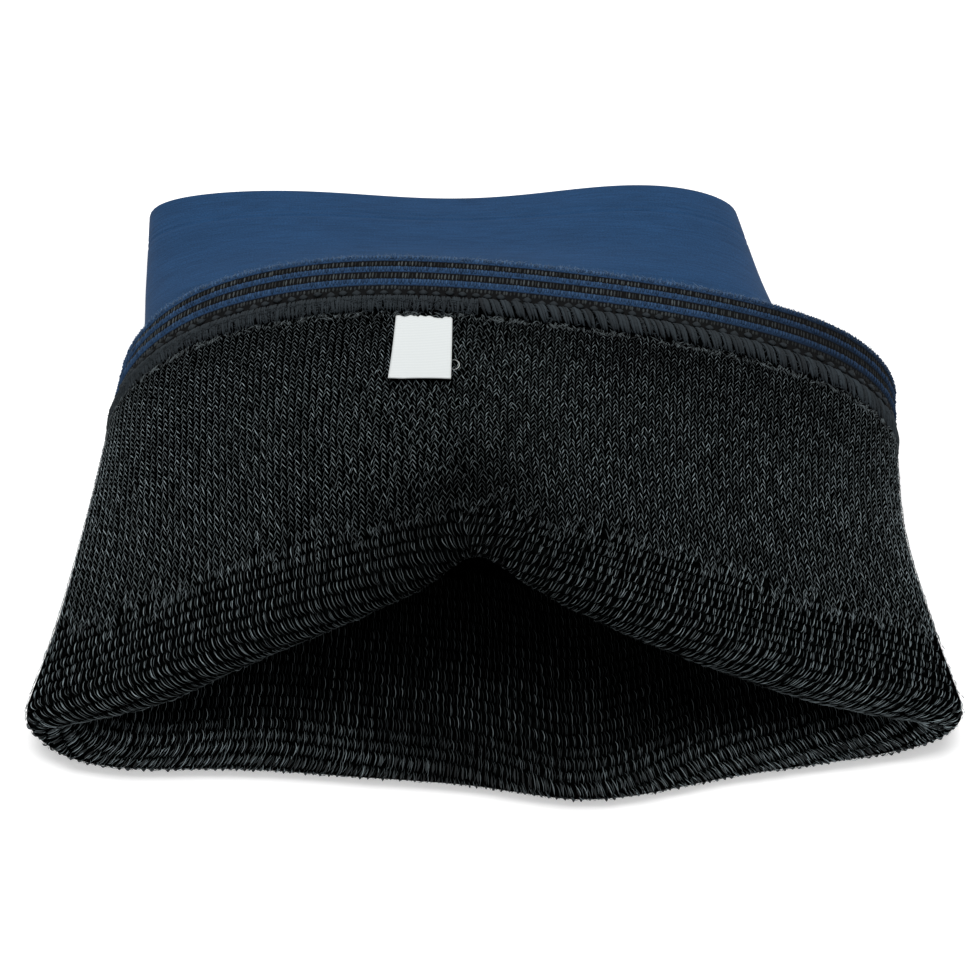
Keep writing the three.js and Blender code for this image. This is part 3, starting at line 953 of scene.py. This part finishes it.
# %% Felt on the seam
FELT_FIBRES, ROPE_FELT = 1900, 0.35
felt_at = rng.uniform(0, WALES, (4 * FELT_FIBRES, 1))
felt_x = on_cuff(felt_at, seam_start, 0.0)[..., 0]
felted = (felt_x < ROPE_FROM_X) | (rng.uniform(0, 1, felt_x.shape) < ROPE_FELT)
felt_at = felt_at[felted & (past_side(felt_at) < 0)][:FELT_FIBRES, None]
t = np.linspace(-0.5, 0.5, 4)
felt_turn = rng.uniform(0, np.pi, felt_at.shape)
felt_back = rng.uniform(0.1, 1.0, felt_at.shape) + 0.25 * np.sin(felt_turn) * t
felt_wale = felt_at + 0.9 * np.cos(felt_turn) * t
felt_high = seam_base - 0.2 + (seam_height(felt_wale) - 0.2) * np.sin(np.pi * np.clip(felt_back, 0, 1))
felt_paths, felt_out = cuff_paths(felt_wale, seam_start + RIDGE_WIDTH * felt_back, felt_high)
felt_radius = rng.uniform(0.12, 0.24, len(felt_at))
felt_tone = rng.uniform(0.1, 0.8, len(felt_at))
strands("seam_felt", felt_paths, felt_out, felt_radius, felt_radius, felt_tone, sides=3)
print(len(felt_at), "fibres of felt")

# %% [markdown]
# The needle thread pierces the welt in a row of holes beside the ridge, about 3.2 mm apart.
# The holes are the dark gaps between small pillows of cloth, so the pillows are what gets modelled.
# At the other foot of the ridge, loose ends of thread make a ragged line.

# %% Pillows and loose ends
HOLE_PITCH = 3.2 / WALE_WIDTH
PILLOW_LENGTH, PILLOW_AT = 1.35, 14.0
pillow_at = np.arange(0, WALES - 0.5, HOLE_PITCH)[:, None]
pillow_at = pillow_at + rng.normal(0, 0.1, pillow_at.shape)
t = np.linspace(-0.5, 0.5, 5)
pillow_back = PILLOW_AT + 0.3 * np.cos(2 * np.pi * t) + rng.normal(0, 0.25, pillow_at.shape)
pillow_high = WELT_LOW - 0.2 + 0.5 * np.cos(np.pi * t) + 0 * pillow_at
pillow_paths, pillow_out = cuff_paths(pillow_at + PILLOW_LENGTH * t, pillow_back, pillow_high)
count = len(pillow_at)
pillow_width, pillow_height = rng.uniform(0.8, 1.2, count), np.full(count, 0.5)
pillow_tone = rng.uniform(0.1, 0.4, count)
strands("needle_pillows", pillow_paths, pillow_out, pillow_width, pillow_height, pillow_tone, sides=6)

LOOSE_ENDS = 1400
loose_at = rng.uniform(0, WALES, (LOOSE_ENDS, 1))
t = np.linspace(-0.5, 0.5, 4)
loose_lean = rng.normal(0, 0.7, (LOOSE_ENDS, 1))
loose_back = seam_start + RIDGE_WIDTH + rng.uniform(-0.3, 1.6, (LOOSE_ENDS, 1)) + 1.5 * t
loose_high = seam_base - 0.1 + rng.uniform(0, 0.25, (LOOSE_ENDS, 1)) * np.cos(np.pi * t)
loose_paths, loose_out = cuff_paths(loose_at + loose_lean * t, loose_back, loose_high)
loose_radius = rng.uniform(0.1, 0.2, LOOSE_ENDS)
loose_tone = rng.uniform(0, 0.25, LOOSE_ENDS)
strands("loose_ends", loose_paths, loose_out, loose_radius, loose_radius, loose_tone)
print(count, "pillows and", LOOSE_ENDS, "loose ends")

# %% [markdown]
# ## The label
#
# A short white ribbon is caught in the seam and hangs over the knit. It carries no print here.
# It is a fine grid bent to the cuff, with an uneven upper edge where the seam bites it,
# and its free end lifts a little from the cloth and leans to the left.

# %% Make the label
label_from = WELT_LENGTH + SEAM_WIDTH + 2 * FIT_GAP
LABEL_COLUMNS, LABEL_ROWS = 29, 45
FLARE = 0.1
RIBBON_WALL = 0.3
upper_wales = np.arange(WALES // 4, 3 * WALES // 4)
down = np.linspace(-0.8, LABEL["length"], LABEL_ROWS)
bite = rng.uniform(-0.5, 0.5, LABEL_COLUMNS)
sideways = np.linspace(-0.5, 0.5, LABEL_COLUMNS) * LABEL["width"]
label_points = np.zeros((LABEL_ROWS, LABEL_COLUMNS, 3))
for row, distance in enumerate(down):
    places = on_cuff(upper_wales, label_from + distance, 0.0)
    way_down = max(0, distance / LABEL["length"])
    spread = np.where(sideways < 0, 1 + FLARE * way_down, 1)
    wales_here = np.interp(-(LABEL["x"] + spread * sideways), -places[:, 0], upper_wales)
    lifted = LABEL["lift"] * way_down ** 2
    curl = 0.5 * np.clip((-sideways - 4) / 3, 0, 1) * way_down ** 3
    height = WALL / 2 + FIT_GAP + LABEL["thick"] / 2 + lifted + curl
    start = bite * np.clip(1 - distance / 3, 0, 1)
    label_points[row] = on_cuff(wales_here, label_from + distance + start, height)
label = lay_cloth("blank_label", label_points)
label_thickness = label.modifiers.new("ribbon", "SOLIDIFY")
label_thickness.thickness = RIBBON_WALL * MM
label_thickness.offset = 0
print("label of", len(label.data.polygons), "faces")

# %% [markdown]
# A loose white thread stands out of the ribbon's right edge as a small open loop.

# %% Thread at the label's edge
THREAD_DOWN, THREAD_LOOP, THREAD_RADIUS, THREAD_LIFT = 16.5, 1.3, 0.11, 1.3
turn_angle = np.linspace(-2.3, 2.3, 12)
thread_down = label_from + THREAD_DOWN + 1.3 * THREAD_LOOP * np.sin(turn_angle)
thread_x = LABEL["x"] + LABEL["width"] / 2 + 0.6 + THREAD_LOOP * np.cos(turn_angle)
places = on_cuff(upper_wales, label_from + THREAD_DOWN, 0.0)
thread_wale = np.interp(-thread_x, -places[:, 0], upper_wales)
thread_path, thread_out = cuff_paths(thread_wale[None], thread_down[None], WALL / 2 + THREAD_LIFT)
thread_size, thread_bright = np.array([THREAD_RADIUS]), np.array([1.0])
label_thread = strands("label_thread", thread_path, thread_out, thread_size, thread_size, thread_bright)
print("a thread of", len(label_thread.data.polygons), "faces")

# %% [markdown]
# ## Materials
#
# Colours are matched as sRGB hex values, and one function turns them to Blender's linear values.
# One helper adds any node with its settings and links, and short ones on top of it add the usual textures.
# So each material reads as a short recipe.

# %% Helpers for materials
def linear(hex_colour):
    """An sRGB hex value as a linear colour."""
    parts = np.array([int(hex_colour[i:i + 2], 16) for i in (1, 3, 5)]) / 255
    values = np.where(parts <= 0.04045, parts / 12.92, ((parts + 0.055) / 1.055) ** 2.4)
    return (*values, 1.0)


def add_node(material, kind, sockets=None, **settings):
    """Add a node. A socket gets a number, a colour or another node's output."""
    node = material.node_tree.nodes.new(kind)
    for name, value in settings.items():
        setattr(node, name, value)
    for name, value in (sockets or {}).items():
        if isinstance(value, bpy.types.NodeSocket):
            material.node_tree.links.new(value, node.inputs[name])
        else:
            node.inputs[name].default_value = value
    return node


def empty_material(name):
    """A material without nodes."""
    material = bpy.data.materials.new(name)
    material.use_nodes = True
    material.node_tree.nodes.clear()
    return material


def attribute(material, name):
    """The values of an attribute of the mesh."""
    return add_node(material, "ShaderNodeAttribute", attribute_name=name).outputs["Fac"]


def cloth_map(material):
    """The cloth's measures, as coordinates for textures."""
    return add_node(material, "ShaderNodeUVMap", uv_map="cloth").outputs[0]


def stretched(material, vector, length, width):
    """Coordinates for a texture that is drawn out across the cloth."""
    scale = (1 / length, 1 / width, 1)
    return add_node(material, "ShaderNodeMapping", {"Vector": vector, "Scale": scale}).outputs[0]


def noise(material, vector, scale, detail):
    """The values of a noise texture."""
    sockets = {"Vector": vector, "Scale": scale, "Detail": detail}
    return add_node(material, "ShaderNodeTexNoise", sockets).outputs["Fac"]


def waves(material, vector, period, direction="X"):
    """The values of a wave texture, with bands a period apart."""
    sockets = {"Vector": vector, "Scale": WAVE_PERIOD / period}
    return add_node(material, "ShaderNodeTexWave", sockets, bands_direction=direction).outputs["Fac"]


def mixed(material, share, first, second):
    """Two values mixed, with a share of the second."""
    return add_node(material, "ShaderNodeMix", {0: share, 2: first, 3: second}, data_type="FLOAT").outputs[0]


def tone_ramp(material, tone, dark, bright, start=0.0, end=1.0):
    """The colour of a tone, from a dark hex value at the start to a bright one at the end."""
    ramp = add_node(material, "ShaderNodeValToRGB", {"Fac": tone})
    for element, position, colour in zip(ramp.color_ramp.elements, (start, end), (dark, bright)):
        element.position = position
        element.color = linear(colour)
    return ramp.outputs["Color"]


def bumped(material, height, strength, distance):
    """A normal that is bumped by a height."""
    sockets = {"Height": height, "Strength": strength, "Distance": distance}
    return add_node(material, "ShaderNodeBump", sockets).outputs[0]


def surface(material, sockets):
    """Give a material its surface."""
    shader = add_node(material, "ShaderNodeBsdfPrincipled", sockets)
    add_node(material, "ShaderNodeOutputMaterial", {"Surface": shader.outputs[0]})


def yarn_material(name, dark, bright, roughness, specular):
    """A yarn that takes its tone from an attribute of the mesh."""
    material = empty_material(name)
    colour = tone_ramp(material, attribute(material, "tone"), dark, bright)
    surface(material, {"Base Color": colour, "Roughness": roughness, "Specular IOR Level": specular})
    return material


WAVE_PERIOD = 2 * np.pi / 20
print("a wave texture of scale 1 repeats every", round(WAVE_PERIOD, 4))

# %% [markdown]
# ### Navy face
#
# The outside is textured polyamide on elastane, knitted fine and matt, with a soft bloom at grazing light.
# Its courses show as faint streaks along the cloth's width, and wear leaves it a little mottled.

# %% Navy knit
STREAK_LENGTH, STREAK_WIDTH = 9 * MM, 1.2 * MM
PATCH_LENGTH, PATCH_WIDTH = 30 * MM, 10 * MM
NAVY_GRAIN = 0.55 * MM
navy = empty_material("navy_polyamide_knit")
navy_map = cloth_map(navy)
streaks = noise(navy, stretched(navy, navy_map, STREAK_LENGTH, STREAK_WIDTH), scale=1.0, detail=4.0)
grain = noise(navy, navy_map, scale=1 / NAVY_GRAIN, detail=2.0)
streaky = mixed(navy, 0.6, streaks, grain)
mottle = noise(navy, stretched(navy, navy_map, PATCH_LENGTH, PATCH_WIDTH), scale=1.0, detail=2.0)
cloudy = mixed(navy, 0.15, streaky, mottle)
surface(navy, {
    "Base Color": tone_ramp(navy, cloudy, "#152f4b", "#23466d", start=0.33, end=0.67),
    "Normal": bumped(navy, streaky, strength=0.5, distance=0.25 * MM),
    "Roughness": 0.9, "Specular IOR Level": 0.1, "Sheen Weight": 0.015, "Sheen Roughness": 0.5,
})
print("made", navy.name)

# %% [markdown]
# ### Black face
#
# Behind the stitches lies the dark inside of the knit, which hardly returns any light: it is black cloth,
# and its near-zero colour, darker than the yarn, also paints the shade in the gaps between the loops and
# deep in the tube.
# Deep in the tube, where no stitches are modelled, a bump of the same wales and courses goes on.

# %% Black ground
black = empty_material("black_knit_ground_and_shade")
black_map = cloth_map(black)
wale_waves = waves(black, black_map, WALE_WIDTH * MM)
course_waves = waves(black, black_map, OPEN_COURSE * MM, "Y")
loops = add_node(black, "ShaderNodeMath", {0: wale_waves, 1: course_waves}, operation="MULTIPLY").outputs[0]
surface(black, {
    "Base Color": tone_ramp(black, loops, "#010101", "#060707"),
    "Normal": bumped(black, loops, strength=0.6, distance=0.5 * MM),
    "Roughness": 1.0, "Specular IOR Level": 0.0,
})
print("made", black.name)

# %% [markdown]
# ### Black yarn
#
# The legs of the stitches are spun yarn with a dull shine. Each leg has its own tone, stored as an attribute
# on the mesh:
# partly random, because no two loops of a real knit are equally bright, and partly painted shade and painted
# highlight set by the leg's place.

# %% Black yarn
yarn = yarn_material("black_spun_yarn", "#0f1213", "#a0aeb3", roughness=0.7, specular=0.2)
print("made", yarn.name)

# %% [markdown]
# ### Striped knit of the welt
#
# The same navy polyamide and black yarn, in courses of their own.
# The mesh carries the stripes as an attribute, and the same attribute darkens the ribs towards its right end
# with painted shade.

# %% Striped welt
WELT_GRAIN = 0.5 * MM
welt_knit = empty_material("navy_striped_knit")
fluff = noise(welt_knit, cloth_map(welt_knit), scale=1 / WELT_GRAIN, detail=3.0)
rib_tones = tone_ramp(welt_knit, fluff, "#1c3049", "#2c486b", start=0.3, end=0.7)
stripe_and_shade_mix = attribute(welt_knit, "stripe_and_shade")
striped = add_node(
    welt_knit, "ShaderNodeMix", {0: stripe_and_shade_mix, 6: rib_tones, 7: linear("#0a0b0c")}, data_type="RGBA",
)
surface(welt_knit, {
    "Base Color": striped.outputs[2], "Normal": bumped(welt_knit, fluff, strength=0.5, distance=0.3 * MM),
    "Roughness": 0.95, "Specular IOR Level": 0.1,
})

navy_yarn = yarn_material("navy_polyamide_yarn", "#1c3049", "#416085", roughness=0.85, specular=0.15)
fluff_fibre = yarn_material("rubbed_polyamide_fibre", "#34495f", "#74889c", roughness=0.8, specular=0.5)
print("made", welt_knit.name, navy_yarn.name, "and", fluff_fibre.name)

# %% [markdown]
# ### Seam thread
#
# Textured polyester thread: bulky, matt and slate grey, with fine filaments along each wrap.

# %% Seam thread
FILAMENT_GRAIN = 0.6 * MM
seam_thread = empty_material("textured_polyester_thread")
seam_place = add_node(seam_thread, "ShaderNodeTexCoord").outputs["Object"]
filaments = noise(seam_thread, seam_place, scale=1 / FILAMENT_GRAIN, detail=3.0)
thread_mix = mixed(seam_thread, 0.5, attribute(seam_thread, "tone"), filaments)
surface(seam_thread, {
    "Base Color": tone_ramp(seam_thread, thread_mix, "#07090b", "#30393f"),
    "Normal": bumped(seam_thread, filaments, strength=0.6, distance=0.3 * MM),
    "Roughness": 0.85, "Specular IOR Level": 0.25,
})
print("made", seam_thread.name)

# %% [markdown]
# ### White satin
#
# The ribbon is woven polyester satin: smooth, with a low shine and fine ribs across it.

# %% Label satin
SATIN_RIB = 0.6 * MM
satin = empty_material("white_satin_ribbon")
satin_ribs = waves(satin, cloth_map(satin), SATIN_RIB, "Y")
surface(satin, {
    "Base Color": tone_ramp(satin, satin_ribs, "#c4c9c9", "#cfd3d3"),
    "Normal": bumped(satin, satin_ribs, strength=0.2, distance=0.1 * MM), "Roughness": 0.45,
})

white_thread = empty_material("white_polyester_thread")
surface(white_thread, {"Base Color": linear("#c8cccc"), "Roughness": 0.6})
print("made", satin.name, "and", white_thread.name)

# %% [markdown]
# ## Floor and light
#
# The photograph has a plain white ground and soft light from above. The table is a little lit from below,
# so that it stays white under the sleeve's shadow.
# A wide area light over the sleeve leaves the inside of the tube dark, a weak one in front reaches the lip,
# and a pale world fills the shadows.

# %% Floor and light
bm = bmesh.new()
bmesh.ops.create_grid(bm, x_segments=1, y_segments=1, size=3)
floor_mesh = bpy.data.meshes.new("floor")
bm.to_mesh(floor_mesh)
bm.free()
floor = placed("floor", floor_mesh)
floor_paint = empty_material("matt_white_table")
surface(floor_paint, {
    "Base Color": linear("#f4f4f4"), "Roughness": 0.9, "Specular IOR Level": 0.1,
    "Emission Color": (1, 1, 1, 1), "Emission Strength": 0.3,
})
floor.data.materials.append(floor_paint)


def area_light(name, place, tilt, size, energy):
    """A rectangular light that looks down, tilted about X by some degrees."""
    light = bpy.data.lights.new(name, "AREA")
    light.shape = "RECTANGLE"
    light.size, light.size_y = size
    light.energy = energy
    lamp = placed(name, light)
    lamp.location = place
    lamp.rotation_euler = (np.radians(tilt), 0, 0)


area_light("overhead", (0.0, 0.25, 0.95), -14, (1.2, 0.9), 11.0)
area_light("front_fill", (0.0, -0.9, 0.7), 52, (1.0, 0.5), 3.4)

world = bpy.data.worlds.new("studio")
world.use_nodes = True
world.node_tree.nodes["Background"].inputs["Color"].default_value = (1, 1, 1, 1)
world.node_tree.nodes["Background"].inputs["Strength"].default_value = 0.3
bpy.context.scene.world = world
bpy.context.scene.view_settings.view_transform = "Standard"
print("floor, two lights and world")

# %% [markdown]
# ## Hand the pieces to the frame
#
# Every piece gets its materials and rides on the imported part's only body. Where it stands for a solid of
# the part, that solid is hidden.

PIECES = {
    "sleeve_cloth": ("sleeve_body", "double_faced_knit", navy, black),
    "cuff_loops_left": (None, "double_faced_knit", yarn),
    "cuff_loops_right": (None, "double_faced_knit", yarn),
    "fold_hooks": (None, "double_faced_knit", yarn),
    "inside_hooks": (None, "double_faced_knit", yarn),
    "right_hooks": (None, "double_faced_knit", yarn),
    "welt_ribs": ("hem_welt", "striped_knit", welt_knit),
    "navy_loops": (None, "striped_knit", navy_yarn),
    "black_loops": (None, "striped_knit", yarn),
    "hem_fluff": (None, "striped_knit", fluff_fibre),
    "seam_ridge": ("overlock_seam", "bulked_thread", black),
    "seam_wraps": (None, "bulked_thread", seam_thread),
    "seam_felt": (None, "bulked_thread", seam_thread),
    "needle_pillows": (None, "bulked_thread", seam_thread),
    "loose_ends": (None, "bulked_thread", yarn),
    "blank_label": ("sewn_label", "satin_ribbon", satin),
    "label_thread": (None, "satin_ribbon", white_thread),
}
for name, (node, slot, *materials) in PIECES.items():
    piece = bpy.data.objects[name]
    for material in materials:
        piece.data.materials.append(material)
    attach(piece, "root")
    if node:
        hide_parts(node)
